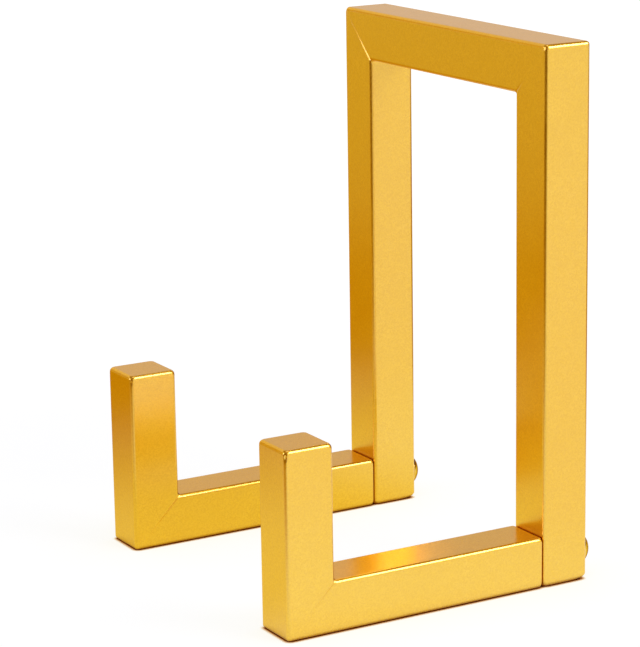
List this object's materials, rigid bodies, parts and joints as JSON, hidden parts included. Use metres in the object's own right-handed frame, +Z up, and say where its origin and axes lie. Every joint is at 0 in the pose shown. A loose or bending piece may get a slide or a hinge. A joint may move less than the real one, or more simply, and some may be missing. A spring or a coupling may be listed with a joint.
{
  "type": "record storage stand",
  "caption": "Tabletop stand of mitred square steel tube with a tall back frame and low front posts, which holds a row of records upright between them.",
  "frame": {"origin": "on the ground, in the middle of the stand's width and of its depth with the bolt heads", "axes": "+Z up, -Y towards the front posts, +X to the right as seen from the front"},
  "size_m": [0.18, 0.1732, 0.26],
  "materials": {
    "gold_coat": "satin metallic gold powder coat with fine flake",
    "bolt_gold": "smooth gloss gold lacquer over steel",
    "zinc": "bright zinc plate"
  },
  "bodies": {
    "back_frame": {"left_upright": "gold_coat", "right_upright": "gold_coat", "top_bar": "gold_coat", "left_foot_plate": "gold_coat", "right_foot_plate": "gold_coat", "left_bolt_sleeve": "zinc", "right_bolt_sleeve": "zinc"},
    "left_arm": {"left_leg": "gold_coat", "left_post": "gold_coat", "left_post_cap": "gold_coat", "left_leg_end_plate": "gold_coat", "left_weld_nut": "zinc"},
    "left_bolt": {"left_bolt": "bolt_gold", "left_lock_washer": "zinc"},
    "right_arm": {"right_leg": "gold_coat", "right_post": "gold_coat", "right_post_cap": "gold_coat", "right_leg_end_plate": "gold_coat", "right_weld_nut": "zinc"},
    "right_bolt": {"right_bolt": "bolt_gold", "right_lock_washer": "zinc"}
  },
  "joints": [
    {"name": "left_arm_swivel", "type": "hinge", "parent": "back_frame", "child": "left_arm", "pos_m": [-0.0775, 0.05337, 0.0125], "axis": [0, 1, 0], "range_deg": [-90, 70]},
    {"name": "right_arm_swivel", "type": "hinge", "parent": "back_frame", "child": "right_arm", "pos_m": [0.0775, 0.05337, 0.0125], "axis": [0, -1, 0], "range_deg": [-90, 70]},
    {"name": "left_bolt_turn", "type": "hinge", "parent": "back_frame", "child": "left_bolt", "pos_m": [-0.0775, 0.07837, 0.0125], "axis": [0, 1, 0], "continuous": true},
    {"name": "right_bolt_turn", "type": "hinge", "parent": "back_frame", "child": "right_bolt", "pos_m": [0.0775, 0.07837, 0.0125], "axis": [0, 1, 0], "continuous": true}
  ]
}
